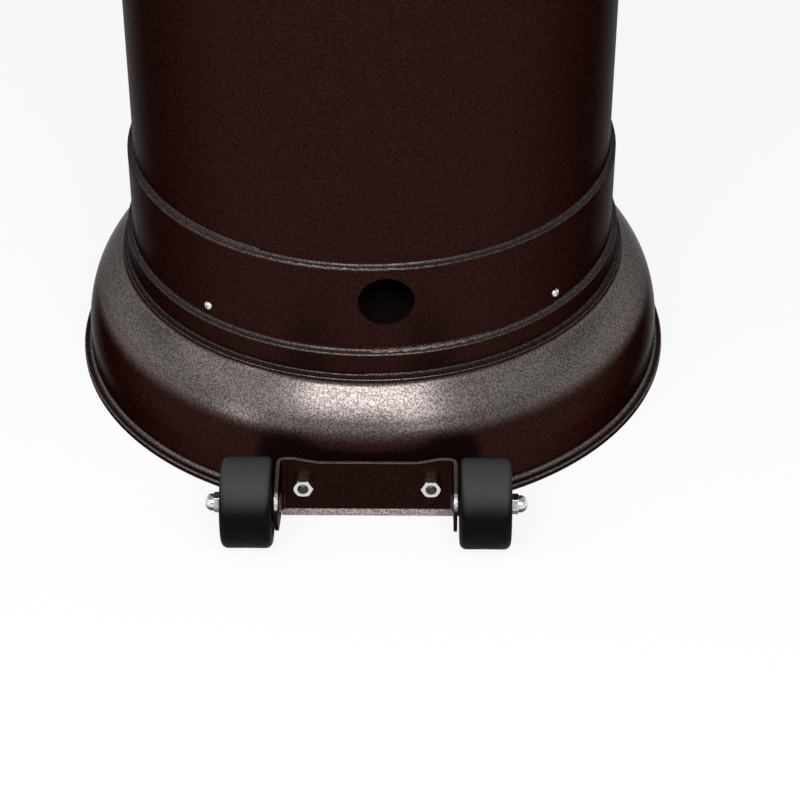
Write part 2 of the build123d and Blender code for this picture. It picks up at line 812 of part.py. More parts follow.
# Control housing: sleeve over the post, cone, drum, turned-in top, and a shelf on the post's end
head_drum_foot = head_foot + head_sleeve + head_cone_rise
head_face = [
    (head_sleeve_radius, head_foot),
    (head_sleeve_radius, head_foot + head_sleeve),
    (head_radius, head_drum_foot),
    (head_radius, head_top),
    (head_top_inner, head_top),
]
stem_axis = Plane(origin=(0, 0, stem_axis_height), x_dir=(-1, 0, 0), z_dir=(0, 1, 0))
igniter_seat = side_plane(igniter_angle, head_radius + contact_gap, stem_axis_height)
with BuildPart() as control_housing:
    revolve(sheet_section(head_face, [head_bend, head_bend, head_top_bend], head_sheet), axis=Axis.Z)
    with BuildSketch(Plane.XY.offset(post_top)):
        Circle(head_sleeve_radius - head_sheet / 2)
        Circle(inlet_radius + shelf_hole_play, mode=Mode.SUBTRACT)
    extrude(amount=shelf_thickness)
    with BuildSketch(stem_axis):
        Circle(stem_radius + shelf_hole_play)
    extrude(amount=2 * head_radius, mode=Mode.SUBTRACT)
    with BuildSketch(igniter_seat):
        Circle(igniter_radius + hole_play)
    extrude(amount=-igniter_depth, mode=Mode.SUBTRACT)
write(control_housing.part, "control_housing")

# Gas valve on the shelf: inlet down into the post, jet up to the burner, boss for the stem
boss_end = stem_axis.offset(boss_reach)
with BuildPart() as gas_valve:
    with BuildSketch(Plane.XY.offset(shelf_top)):
        RectangleRounded(2 * valve_half_width, 2 * valve_half_width, valve_corner)
    extrude(amount=valve_height)
    with BuildSketch(Plane.XY.offset(shelf_top)):
        Circle(inlet_radius)
    extrude(amount=-inlet_length)
    with BuildSketch(Plane.XY.offset(shelf_top + valve_height)):
        Circle(jet_radius)
    extrude(amount=jet_length)
    with BuildSketch(stem_axis):
        Circle(boss_radius)
    extrude(amount=boss_reach)
    with BuildSketch(boss_end):
        Circle(stem_radius + running)
    extrude(amount=-stem_depth - side_play, mode=Mode.SUBTRACT)
write(gas_valve.part, "gas_valve")

# Valve stem that turns in the boss, with a flat that drives the knob
knob_back = head_radius + knob_gap + knob_travel
knob_socket = knob_depth - knob_wall
stem_end = knob_back + knob_socket - knob_travel - side_play
flat_side = stem_radius - stem_flat
with BuildPart() as valve_stem:
    with BuildSketch(stem_axis.offset(boss_reach - stem_depth)):
        Circle(stem_radius)
    extrude(amount=stem_end - boss_reach + stem_depth)
    with BuildSketch(stem_axis.offset(stem_end)):
        with Locations((0, flat_side)):
            Rectangle(2 * stem_radius, 2 * stem_radius, align=(Align.CENTER, Align.MIN))
    extrude(amount=head_radius - stem_end, mode=Mode.SUBTRACT)
write(valve_stem.part, "valve_stem")

# Control knob: skirted disc with a grip bar, pushed in and turned with the stem
with BuildPart() as control_knob:
    with BuildSketch(stem_axis.offset(knob_back)):
        Circle(knob_radius)
    extrude(amount=knob_depth, taper=knob_angle)
    fillet(control_knob.faces().sort_by(Axis.Y)[-1].edges(), knob_round)
    with BuildSketch(stem_axis.offset(knob_back + knob_depth)):
        SlotOverall(grip_length, grip_width, rotation=90)
    extrude(amount=grip_height)
    with BuildSketch(stem_axis.offset(knob_back)):
        Circle(stem_radius + running)
        with Locations((0, flat_side + running)):
            Rectangle(4 * stem_radius, 2 * stem_radius, align=(Align.CENTER, Align.MIN), mode=Mode.SUBTRACT)
    extrude(amount=knob_socket, mode=Mode.SUBTRACT)
write(control_knob.part, "control_knob")

# Igniter: a body through the drum's wall and the button that slides in it
with BuildPart() as igniter_body:
    with BuildSketch(igniter_seat):
        Circle(igniter_flange_radius)
    extrude(amount=igniter_flange)
    with BuildSketch(igniter_seat):
        Circle(igniter_radius)
    extrude(amount=-igniter_depth)
    with BuildSketch(igniter_seat.offset(igniter_flange)):
        Circle(button_radius + running)
    extrude(amount=-button_depth - button_travel - side_play, mode=Mode.SUBTRACT)
write(igniter_body.part, "igniter_body")

with BuildPart() as igniter_button:
    with BuildSketch(igniter_seat.offset(igniter_flange - button_depth)):
        Circle(button_radius)
    extrude(amount=button_depth + button_stand)
    fillet(igniter_button.faces().sort_by(Axis(igniter_seat.origin, igniter_seat.z_dir))[-1].edges(), button_round)
write(igniter_button.part, "igniter_button")

# Tilt switch on the valve's back
with BuildPart() as tilt_switch:
    with BuildSketch(Plane.XZ.offset(valve_half_width)):
        with Locations((0, shelf_top)):
            RectangleRounded(tilt_width, tilt_height, tilt_corner, align=(Align.CENTER, Align.MIN))
    extrude(amount=tilt_depth)
write(tilt_switch.part, "tilt_switch")

# Burner plate: floor of the emitter with an upturned rim
screen_seat_radius = screen_radius + slip + plate_sheet
with BuildPart() as burner_plate:
    plate_face = [(burner_tube_radius + slip, head_top), (screen_seat_radius, head_top),
                  (screen_seat_radius, head_top + plate_rim)]
    revolve(sheet_section(plate_face, [plate_sheet + slip], plate_sheet), axis=Axis.Z)
write(burner_plate.part, "burner_plate")

# Burner: mixing tube over the jet and a cup with ports round its side
burner_floor = plate_top + burner_stand
tube_foot = shelf_top + valve_height + jet_entry
with BuildPart() as burner:
    with BuildSketch(Plane.XY.offset(tube_foot)):
        Circle(burner_tube_radius)
    extrude(amount=burner_floor - tube_foot)
    with BuildSketch(Plane.XY.offset(plate_top)):
        Circle(burner_tube_radius + burner_stand)
    extrude(amount=burner_stand)
    with BuildSketch(Plane.XY.offset(burner_floor)):
        Circle(burner_radius)
    extrude(amount=burner_height)
    fillet(burner.faces().sort_by(Axis.Z)[-1].edges(), burner_round)
    with BuildSketch(Plane.XY.offset(tube_foot)):
        Circle(burner_tube_radius - burner_tube_sheet)
    extrude(amount=burner_floor - tube_foot + burner_cavity, mode=Mode.SUBTRACT)
    with Locations((0, 0, burner_floor + burner_port_height)):
        with PolarLocations(burner_radius, burner_ports):
            Cylinder(burner_port_radius, burner_port_depth, rotation=(0, 90, 0), mode=Mode.SUBTRACT)
write(burner.part, "burner")

# Pilot beside the burner, on a foot on the plate
with BuildPart() as pilot_assembly:
    with BuildSketch(Plane.XY.offset(plate_top)):
        with Locations((0, pilot_reach)):
            RectangleRounded(2 * pilot_foot, 2 * pilot_foot, pilot_foot_corner)
    extrude(amount=pilot_foot_thickness)
    with BuildSketch(Plane.XY.offset(plate_top)):
        with Locations((-pilot_foot / 2, pilot_reach), (pilot_foot / 2, pilot_reach)):
            Circle(pilot_radius)
    extrude(amount=pilot_height)
    fillet(pilot_assembly.faces().sort_by(Axis.Z)[-2:].edges(), pilot_round)
write(pilot_assembly.part, "pilot_assembly")

# Emitter screen: a rolled sheet pierced by rows of upright slots
with BuildPart() as emitter_screen:
    with BuildSketch(Plane.XY.offset(plate_top)):
        Circle(screen_radius)
        Circle(screen_radius - screen_sheet, mode=Mode.SUBTRACT)
    extrude(amount=screen_height)
    for row in range(slot_rows):
        row_height = plate_top + screen_height / 2 + (row - (slot_rows - 1) / 2) * slot_pitch
        with Locations((0, 0, row_height)):
            with PolarLocations(screen_radius, slot_columns):
                Box(slot_cut, slot_width, slot_height, mode=Mode.SUBTRACT)
write(emitter_screen.part, "emitter_screen")

# Emitter cap over the screen's top edge
cap_radius = screen_radius + slip + cap_sheet
with BuildPart() as emitter_cap:
    cap_face = [(cap_radius, cap_top - cap_skirt), (cap_radius, cap_top), (0, cap_top)]
    revolve(sheet_section(cap_face, [cap_sheet + slip], cap_sheet), axis=Axis.Z)
    with BuildSketch(Plane.XY.offset(cap_top)):
        with PolarLocations(stud_circle, studs):
            Circle(stud_thread_radius + thread_play)
    extrude(amount=-2 * cap_sheet, mode=Mode.SUBTRACT)
write(emitter_cap.part, "emitter_cap")

# Reflector: hub, crowned skirt and turned-down rim
crown_radius = (reflector_hub_radius + reflector_radius) / 2
reflector_face = [
    (reflector_radius, reflector_top - reflector_drop - reflector_rim),
    (reflector_radius, reflector_top - reflector_drop),
    (crown_radius, reflector_top - reflector_drop / 2 + reflector_crown),
    (reflector_hub_radius, reflector_top),
    (0, reflector_top),
]
reflector_bends = [reflector_rim_bend, reflector_crown_bend, reflector_hub_bend]
with BuildPart() as reflector:
    revolve(sheet_section(reflector_face, reflector_bends, reflector_sheet), axis=Axis.Z)
    with BuildSketch(Plane.XY.offset(reflector_top)):
        with PolarLocations(stud_circle, studs):
            Circle(stud_thread_radius + hole_play)
    extrude(amount=-reflector_rim, mode=Mode.SUBTRACT)
write(reflector.part, "reflector")

# Studs between the cap and the reflector, and their dome nuts
for number, spot in enumerate(PolarLocations(stud_circle, studs), start=1):
    foot = Plane(origin=(spot.position.X, spot.position.Y, cap_top), z_dir=(0, 0, 1))
    stud_top = stud_length + reflector_sheet + nut_hex_height + nut_dome_height - nut_wall - side_play
    with BuildPart() as reflector_stud:
        with BuildSketch(foot):
            Circle(stud_radius)
        extrude(amount=stud_length)
        with BuildSketch(foot.offset(-stud_tail)):
            Circle(stud_thread_radius)
        extrude(amount=stud_tail + stud_top)
    write(reflector_stud.part, f"reflector_stud_{number}")
    write(dome_nut(foot.offset(stud_length + reflector_sheet), stud_thread_radius), f"reflector_nut_{number}")
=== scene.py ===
from math import cos, pi, radians, sin

import bmesh
import bpy
from mathutils import Matrix, Vector


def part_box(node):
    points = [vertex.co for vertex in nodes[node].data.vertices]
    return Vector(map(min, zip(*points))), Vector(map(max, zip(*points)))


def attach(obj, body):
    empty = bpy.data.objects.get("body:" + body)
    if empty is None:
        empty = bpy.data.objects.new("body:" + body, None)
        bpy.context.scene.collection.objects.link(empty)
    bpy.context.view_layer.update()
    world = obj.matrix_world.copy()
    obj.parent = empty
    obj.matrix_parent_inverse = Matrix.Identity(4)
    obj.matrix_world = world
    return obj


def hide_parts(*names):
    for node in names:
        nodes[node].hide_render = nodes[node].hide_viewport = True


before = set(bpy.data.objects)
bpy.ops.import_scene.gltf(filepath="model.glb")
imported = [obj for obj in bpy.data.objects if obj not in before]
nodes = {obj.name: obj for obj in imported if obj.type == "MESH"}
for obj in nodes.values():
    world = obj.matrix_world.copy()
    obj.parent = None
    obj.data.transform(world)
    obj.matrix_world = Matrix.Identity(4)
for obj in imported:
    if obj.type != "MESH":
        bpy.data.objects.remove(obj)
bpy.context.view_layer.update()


# Base dish: one deep-drawn steel pressing that the whole heater stands on.
# It is sprayed with hammered bronze enamel, a thick glossy lacquer that dries into small pebbles.
# Its colour carries painted light: painted shade in dark brown on the steep walls, a pale grey painted
# highlight on the slopes.
class Shade:
    """One output in a finish's node tree; arithmetic on it adds the Math node."""

    def __init__(self, finish, socket):
        self.finish = finish
        self.socket = socket

    def __add__(self, other):
        return self.finish.maths("ADD", self, other)

    def __radd__(self, other):
        return self.finish.maths("ADD", other, self)

    def __mul__(self, other):
        return self.finish.maths("MULTIPLY", self, other)

    def __rmul__(self, other):
        return self.finish.maths("MULTIPLY", other, self)


class Finish:
    """A surface finish: a material whose Principled shader takes constants, then patterns."""

    def __init__(self, name, constants):
        self.material = bpy.data.materials.new(name)
        self.material.use_nodes = True
        self.tree = self.material.node_tree
        self.shader = self.tree.nodes["Principled BSDF"]
        for socket, value in constants.items():
            self.shader.inputs[socket].default_value = value
        self.place = self.node("ShaderNodeTexCoord", {}, {}, "Object")

    def node(self, kind, settings, sockets, output=0):
        """Add a node with its settings, then its sockets' values or links, and give one output."""
        made = self.tree.nodes.new(kind)
        for setting, value in settings.items():
            setattr(made, setting, value)
        for socket, value in sockets.items():
            if isinstance(value, Shade):
                self.tree.links.new(value.socket, made.inputs[socket])
            else:
                made.inputs[socket].default_value = value
        return Shade(self, made.outputs[output])

    def maths(self, operation, first, second):
        return self.node("ShaderNodeMath", {"operation": operation}, {0: first, 1: second})

    def fade(self, value, low, high, start=0.0, end=1.0):
        """Smooth step of a value from start at low to end at high."""
        span = {"Value": value, "From Min": low, "From Max": high, "To Min": start, "To Max": end}
        return self.node("ShaderNodeMapRange", {"interpolation_type": "SMOOTHSTEP"}, span, "Result")

    def noise(self, scale, detail=2.0, place=None):
        sockets = {"Vector": place or self.place, "Scale": scale, "Detail": detail}
        return self.node("ShaderNodeTexNoise", {}, sockets, "Fac")

    def vary(self, pattern, least, most):
        """A value that follows a noise pattern between least and most, over the noise's usual range."""
        return self.fade(pattern, low=0.3, high=0.7, start=least, end=most)

    def blend(self, share, first, second):
        """Mix of two colours, the second by its share."""
        # A Mix node lists its sockets for numbers and vectors first: its colours are 6 and 7, out at 2.
        return self.node("ShaderNodeMix", {"data_type": "RGBA"}, {0: share, 6: first, 7: second}, 2)

    def feed(self, **patterns):
        """Link patterns to the shader's sockets, named with underscores for spaces."""
        for socket, shade in patterns.items():
            self.tree.links.new(shade.socket, self.shader.inputs[socket.replace("_", " ")])

    def bumps(self, height, strength, depth):
        """Raise the surface by a height pattern."""
        sockets = {"Strength": strength, "Distance": depth, "Height": height}
        self.feed(Normal=self.node("ShaderNodeBump", {}, sockets, "Normal"))

    def turned(self, axis):
        """How far the surface faces along a world axis, from -1 to 1."""
        normal = self.node("ShaderNodeNewGeometry", {}, {}, "Normal")
        return self.node("ShaderNodeSeparateXYZ", {}, {0: normal}, axis)


def dress(finish, *names):
    """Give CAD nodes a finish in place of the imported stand-in colour."""
    for name in names:
        nodes[name].data.materials.clear()
        nodes[name].data.materials.append(finish.material)


def tone(colour, level):
    """A colour with each channel multiplied by a level."""
    return (*(channel * level for channel in colour), 1)


def bronze_enamel(name, leaf, highlight_level, top_highlight_share, dullness):
    """Hammered enamel with painted light: painted shade in dark brown on steep walls, a pale grey
    painted highlight on slopes, and a paler painted highlight on eased edges that don't face down.

    The argument leaf is the strength of the painted shade colour, the next argument the strength of
    the painted highlight colour, the one after it the share of that painted highlight on flat tops,
    and dullness is the roughness in the hollows between the pebbles.
    """
    # Painted shade colour for steep walls, painted highlight colours for slopes and for eased edges.
    wall_shade_colour = (0.0205, 0.0077, 0.0065)
    highlight_colour = (0.118, 0.102, 0.099)
    edge_highlight_colour = (0.240, 0.208, 0.200)
    edge_tint = (0.39, 0.39, 0.39, 1)
    light_wall_flake, dark_wall_flake = 1.3, 0.7
    light_highlight_flake, dark_highlight_flake = 1.4, 0.6
    edge_highlight_least = 0.4
    pebble_dullness = 0.08
    enamel = Finish(name, {"Metallic": 0.8, "Specular IOR Level": 0.0, "Specular Tint": edge_tint})
    pebbles = enamel.noise(scale=600.0, detail=1.4)
    enamel.bumps(pebbles, strength=0.2, depth=0.0004)
    upward = enamel.turned("Z")
    # Painted light: faces turned up take the painted highlight colour, steep walls the painted shade.
    off_walls = enamel.fade(upward, low=0.32, high=0.55)
    off_tops = enamel.fade(upward, low=0.80, high=0.97, start=1.0, end=top_highlight_share)
    flakes = enamel.fade(enamel.noise(scale=740.0, detail=1.5), low=0.38, high=0.62)
    wall_shade = enamel.blend(
        flakes, tone(wall_shade_colour, light_wall_flake * leaf), tone(wall_shade_colour, dark_wall_flake * leaf)
    )
    slope_highlight = enamel.blend(
        flakes, tone(highlight_colour, light_highlight_flake * highlight_level), tone(highlight_colour, dark_highlight_flake * highlight_level)
    )
    coat_with_painted_light = enamel.blend(off_walls * off_tops, wall_shade, slope_highlight)
    # Painted highlight: eased edges that don't face down are paler, in flecks.
    edge_highlight = enamel.node("ShaderNodeAttribute", {"attribute_name": "edge_highlight"}, {}, "Fac")
    edge_highlight_share = edge_highlight * (edge_highlight_least + (1 - edge_highlight_least) * flakes)
    enamel.feed(
        Base_Color=enamel.blend(edge_highlight_share, coat_with_painted_light, tone(edge_highlight_colour, 1.0)),
        Roughness=enamel.vary(pebbles, dullness, dullness + pebble_dullness),
    )
    return enamel


def smooth_piece(name, form, finish):
    """Turn a finished bmesh into a smooth-shaded piece that keeps its creases sharp and its flats flat."""
    crease = radians(35.0)
    mesh = bpy.data.meshes.new(name)
    form.to_mesh(mesh)
    form.free()
    mesh.shade_smooth()
    mesh.set_sharp_from_angle(angle=crease)
    mesh.materials.append(finish.material)
    piece = bpy.data.objects.new(name, mesh)
    bpy.context.scene.collection.objects.link(piece)
    flats = piece.modifiers.new("flats", "WEIGHTED_NORMAL")
    flats.weight = 80
    flats.keep_sharp = True
    return piece


def stand_in(node, name, form, finish, body):
    """Finish a form as the piece that stands for a CAD node."""
    piece = smooth_piece(name, form, finish)
    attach(piece, body)
    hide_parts(node)


def spin_round(form, axis, steps):
    """Turn everything in a form once about an axis through the origin, and close it."""
    bmesh.ops.spin(
        form, geom=form.verts[:] + form.edges[:], cent=(0, 0, 0), axis=axis, dvec=(0, 0, 0),
        angle=2 * pi, steps=steps, use_merge=True,
    )


def round_corners(form, corners, size, segments):
    """Round corners of an outline, or of a solid, by a size."""
    bmesh.ops.bevel(
        form, geom=corners, offset=size, offset_type="OFFSET", segments=segments, profile=0.5,
        affect="VERTICES", material=-1,
    )


def close_up(form, weld):
    """Merge vertices that lie within a distance, and turn all faces outwards."""
    bmesh.ops.remove_doubles(form, verts=form.verts, dist=weld)
    bmesh.ops.recalc_face_normals(form, faces=form.faces)


def turned_form(corners, steps):
    """Surface of corners (radius, height, reach of the bend there) turned about the upright axis."""
    least_segments, most_segments, segments_per_metre = 6, 24, 600
    form = bmesh.new()
    line = [form.verts.new((radius, 0, height)) for radius, height, reach in corners]
    for pair in zip(line, line[1:]):
        form.edges.new(pair)
    for corner, (radius, height, reach) in zip(line, corners):
        if reach:
            segments = min(least_segments + int(reach * segments_per_metre), most_segments)
            round_corners(form, [corner], reach, segments)
    spin_round(form, (0, 0, 1), steps)
    close_up(form, weld=1e-6)
    return form


# The dish's flat tops take little of the painted highlight.
hammered_bronze = bronze_enamel("hammered_bronze", leaf=1.05, highlight_level=1.08, top_highlight_share=0.12, dullness=0.23)
dish_sheet = 0.0015
dish_radius = 0.2300
lip_height, lip_bend = 0.0045, 0.0020
wall_foot_radius, wall_foot_bend = 0.2236, 0.0040
shoulder_radius, shoulder_height, shoulder_bend = 0.2232, 0.0455, 0.0190
swell_radius, swell_height, swell_bend = 0.2065, 0.0750, 0.0100
neck_radius, neck_height, neck_bend = 0.1940, 0.0890, 0.0026
ledge_foot_radius, ledge_foot_height = 0.1934, 0.0920
ledge_radius, ledge_height, ledge_bend = 0.1930, 0.0925, 0.0003
deck_radius, deck_height, deck_bend = 0.1833, 0.1300, 0.0040
deck_foot_bend = 0.0035
dish_form = turned_form(
    [
        (dish_radius, 0, 0),
        (dish_radius, lip_height, lip_bend),
        (wall_foot_radius, lip_height, wall_foot_bend),
        (shoulder_radius, shoulder_height, shoulder_bend),
        (swell_radius, swell_height, swell_bend),
        (neck_radius, neck_height, neck_bend),
        (ledge_foot_radius, ledge_foot_height, ledge_bend),
        (ledge_radius, ledge_height, ledge_bend),
        (deck_radius, ledge_height, deck_foot_bend),
        (deck_radius, deck_height, deck_bend),
        (0, deck_height, 0),
    ],
    steps=192,
)
bmesh.ops.solidify(dish_form, geom=dish_form.faces[:], thickness=dish_sheet)
stand_in("base_dish", "dish_pressing", dish_form, hammered_bronze, "frame")

# Tank ring: a rolled strip of mild steel welded on the deck, which keeps the tank in the middle.
# It is painted plain black, like the other steel inside the housing.
black_steel = Finish("black_steel", {"Base Color": (0.012, 0.012, 0.012, 1)})
black_steel.feed(Roughness=black_steel.vary(black_steel.noise(scale=160.0, detail=4.0), 0.38, 0.55))
black_steel.bumps(black_steel.noise(scale=1200.0), strength=0.15, depth=0.0002)
dress(black_steel, "tank_ring")


# Wheel bracket: a steel plate folded into two ears, with a flared lip along its foot.
# Its sheared edges are tumbled round. Its bronze enamel is duller than the dish's, with painted shade
# darker on upright faces, a painted highlight paler on slopes and tops, and a pale painted highlight along
# the edges.
def ease_edges(form, edges, size):
    """Round edges of a form by a size, and mark the new faces for a painted highlight unless they face
    down.
    """
    face_down = -0.2
    edge_highlight = form.faces.layers.float.get("edge_highlight") or form.faces.layers.float.new("edge_highlight")
    eased = bmesh.ops.bevel(
        form, geom=edges, offset=size, offset_type="OFFSET", segments=4, profile=0.5,
        affect="EDGES", clamp_overlap=True, material=-1,
    )
    form.normal_update()
    for face in eased["faces"]:
        face[edge_highlight] = float(face.normal.z > face_down)


def sharp_edges(form, angle=40.0):
    """Edges where two faces meet at more than an angle."""
    return [edge for edge in form.edges if edge.calc_face_angle(0) > radians(angle)]


def solid_form(node):
    """Copy of a CAD node's mesh with its flat faces joined."""
    form = bmesh.new()
    form.from_mesh(nodes[node].data)
    bmesh.ops.remove_doubles(form, verts=form.verts, dist=2e-6)
    bmesh.ops.dissolve_limit(form, angle_limit=radians(0.5), verts=form.verts, edges=form.edges)
    return form


def is_plate_rim(edge):
    """Whether an edge lies between the plate's top and its outer face."""
    square_on = 0.9
    top = any(face.normal.z > square_on for face in edge.link_faces)
    outside = any(face.normal.y < -square_on for face in edge.link_faces)
    return top and outside


plate_rim_ease = 0.0019
bracket_ease = 0.0008
bracket_bronze = bronze_enamel("bracket_bronze", leaf=0.72, highlight_level=2.0, top_highlight_share=1.0, dullness=0.36)
bracket_form = solid_form("wheel_bracket")
plate_rim = [edge for edge in sharp_edges(bracket_form) if is_plate_rim(edge)]
ease_edges(bracket_form, plate_rim, plate_rim_ease)
ease_edges(bracket_form, sharp_edges(bracket_form), bracket_ease)
stand_in("wheel_bracket", "bracket_folded", bracket_form, bracket_bronze, "frame")

# Saddle spacers, bolts and nuts: turned steel spacers let the flat plate sit on the round wall,
# bolts come through from inside the dish, and zinc-plated nuts clamp the plate; the bolts' ends are painted
# near-black as shade.
dress(black_steel, "bracket_spacer_left", "bracket_spacer_right")
zinc_plate = Finish("zinc_plate", {"Metallic": 1.0})
zinc_cloud = zinc_plate.noise(scale=420.0, detail=3.0)
zinc_plate.feed(
    Base_Color=zinc_plate.blend(zinc_cloud, (0.56, 0.56, 0.55, 1), (0.80, 0.80, 0.78, 1)),
    Roughness=zinc_plate.vary(zinc_cloud, 0.18, 0.32),
)
zinc_plate.bumps(zinc_plate.noise(scale=1500.0), strength=0.08, depth=0.0002)
# Painted shade: near-black metal on the bolts' ends.
painted_shade_zinc = Finish("painted_shade_zinc", {"Metallic": 1.0})
painted_shade_cloud = painted_shade_zinc.noise(scale=900.0, detail=3.0)
painted_shade_zinc.feed(
    Base_Color=painted_shade_zinc.blend(painted_shade_cloud, (0.028, 0.029, 0.027, 1), (0.075, 0.074, 0.070, 1)),
    Roughness=painted_shade_zinc.vary(painted_shade_cloud, 0.34, 0.5),
)
painted_shade_zinc.bumps(painted_shade_zinc.noise(scale=1700.0), strength=0.15, depth=0.0002)
dress(painted_shade_zinc, "bracket_bolt_left", "bracket_bolt_right")
plain_nut_ease = 0.0003
for side in ("left", "right"):
    nut_form = solid_form(f"bracket_nut_{side}")
    ease_edges(nut_form, sharp_edges(nut_form), plain_nut_ease)
    stand_in(f"bracket_nut_{side}", f"bracket_plain_nut_{side}", nut_form, zinc_plate, "frame")

# Dome nuts: hexagon nuts drawn closed over the bolt's end, plated, with painted shade in dark grey on their
# downward faces.
# Two end the axles and three hold the reflector down.
dome_zinc = Finish("dome_zinc", {"Metallic": 1.0})
dome_cloud = dome_zinc.noise(scale=420.0, detail=3.0)
# Painted shade: the nut darkens to dark grey as its faces turn downward.
dome_shade_colour = (0.060, 0.059, 0.057, 1)
dome_bright = dome_zinc.blend(dome_cloud, (0.66, 0.66, 0.65, 1), (0.84, 0.84, 0.82, 1))
dome_lit_share = dome_zinc.fade(dome_zinc.turned("Z"), low=-0.15, high=0.3)
dome_zinc.feed(
    Base_Color=dome_zinc.blend(dome_lit_share, dome_shade_colour, dome_bright),
    Roughness=dome_zinc.vary(dome_cloud, 0.14, 0.26),
)
dome_zinc.bumps(dome_zinc.noise(scale=1500.0), strength=0.06, depth=0.0002)
nut_flats = 0.013
nut_hex_height = 0.005
nut_corner_cut = 0.0011
nut_edge_ease = 0.00018
dome_radius = 0.0062
dome_height = 0.0065
dome_wall = 0.0015
dome_sink = 0.0004
dome_arc_steps = 10


def dome_nut(name, node, along):
    """Nut seated where the node is, its dome pointing along an axis, in place of the node."""
    low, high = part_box(node)
    outward = Vector(along)
    seat = (low + high) / 2 - outward * ((high - low).dot(Vector(map(abs, along))) / 2)
    corner_radius = nut_flats / 2 / cos(pi / 6)
    form = bmesh.new()
    hexagon = bmesh.ops.create_cone(
        form, cap_ends=True, segments=6, radius1=corner_radius, radius2=corner_radius, depth=nut_hex_height,
        matrix=Matrix.Translation((0, 0, nut_hex_height / 2)),
    )
    top_corners = [vert for vert in hexagon["verts"] if vert.co.z > nut_hex_height / 2]
    round_corners(form, top_corners, nut_corner_cut, segments=2)
    bmesh.ops.bevel(
        form, geom=sharp_edges(form, angle=25.0), offset=nut_edge_ease, offset_type="OFFSET", segments=2,
        profile=0.5, affect="EDGES", material=-1,
    )
    crown = [form.verts.new((dome_radius, 0, nut_hex_height - dome_sink))]
    for step in range(dome_arc_steps + 1):
        lift = pi / 2 * step / dome_arc_steps
        rise = dome_wall + (dome_height - dome_wall) * sin(lift)
        crown.append(form.verts.new((dome_radius * cos(lift), 0, nut_hex_height + rise)))
    arc = [form.edges.new(pair) for pair in zip(crown, crown[1:])]
    bmesh.ops.spin(
        form, geom=crown + arc, cent=(0, 0, 0), axis=(0, 0, 1), dvec=(0, 0, 0), angle=2 * pi, steps=40,
        use_merge=True,
    )
    close_up(form, weld=1e-5)
    turn = Vector((0, 0, 1)).rotation_difference(outward).to_matrix().to_4x4()
    form.transform(Matrix.Translation(seat) @ turn)
    stand_in(node, name, form, dome_zinc, "frame")


dome_nut("axle_dome_nut_left", "axle_nut_left", (-1, 0, 0))
dome_nut("axle_dome_nut_right", "axle_nut_right", (1, 0, 0))

# Wheels: solid wheels moulded in black rubber, with a plain tread, a fine parting line,
# dished sides and ribs from the hub to the rim. They turn on black axle bolts with washers.
dress(black_steel, "axle_washer_left", "axle_washer_right", "axle_bolt_left", "axle_bolt_right")
black_rubber = Finish("black_rubber", {"Specular IOR Level": 0.04})
rubber_grain = black_rubber.noise(scale=90.0, detail=5.0)
# Painted light: the rubber is pale grey where it faces up and near black underneath, as if lit from above.
rubber_top_light = black_rubber.fade(black_rubber.turned("Z") + 0.2 * rubber_grain, low=0.42, high=1.0)
black_rubber.feed(
    Base_Color=black_rubber.blend(rubber_top_light, (0.0018, 0.0018, 0.0019, 1), (0.043, 0.045, 0.047, 1)),
    Roughness=black_rubber.vary(rubber_grain, 0.5, 0.66),
)
black_rubber.bumps(black_rubber.noise(scale=1400.0, detail=3.0), strength=0.22, depth=0.0003)
wheel_bore = 0.0041
wheel_hub = 0.012
wheel_rim = 0.008
wheel_dish = 0.006
wheel_draft = 0.001
wheel_corner = 0.005
wheel_rolled_edge = 0.0009
parting_line = 0.0003
parting_slope = 0.0001
rib_count = 8
rib_thickness = 0.003
rib_set_back = 0.0012
rib_root = 0.001


def moulded_wheel(side):
    """Wheel turned about its axle, with its ribs, in place of the CAD wheel."""
    node = f"wheel_{side}"
    low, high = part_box(node)
    radius = (high.z - low.z) / 2
    half = (high.x - low.x) / 2
    web = half - wheel_dish
    half_outline = [
        (half, wheel_bore),
        (half, wheel_hub),
        (web, wheel_hub + wheel_draft),
        (web, radius - wheel_rim - wheel_draft),
        (half, radius - wheel_rim),
        (half, radius),
        (parting_line * 2, radius - parting_slope),
    ]
    hub_edge, rim_edge, tread_edge = 1, 4, 5
    outline = [(-x, r) for x, r in half_outline] + [(0, radius - parting_line)] + half_outline[::-1]
    form = bmesh.new()
    ring = [form.verts.new((x, 0, r)) for x, r in outline]
    for pair in zip(ring, ring[1:] + ring[:1]):
        form.edges.new(pair)
    shoulders = [ring[tread_edge], ring[-1 - tread_edge]]
    rolled = [ring[hub_edge], ring[rim_edge], ring[-1 - rim_edge], ring[-1 - hub_edge]]
    round_corners(form, shoulders, wheel_corner, segments=6)
    round_corners(form, rolled, wheel_rolled_edge, segments=3)
    spin_round(form, (1, 0, 0), steps=96)
    gap = radius - wheel_rim - wheel_hub
    rib_size = (wheel_dish - rib_set_back, rib_thickness, gap + 2 * rib_root)
    for number in range(rib_count):
        for end in (-1, 1):
            rib = bmesh.ops.create_cube(form, size=1.0)["verts"]
            bmesh.ops.scale(form, vec=rib_size, verts=rib)
            middle = Vector((end * (web + rib_size[0] / 2), 0, wheel_hub + gap / 2))
            turn = Matrix.Rotation(2 * pi * number / rib_count, 4, "X")
            bmesh.ops.transform(form, matrix=turn @ Matrix.Translation(middle), verts=rib)
    close_up(form, weld=1e-6)
    form.transform(Matrix.Translation((low + high) / 2))
    stand_in(node, f"wheel_moulding_{side}", form, black_rubber, node)


moulded_wheel("left")
moulded_wheel("right")

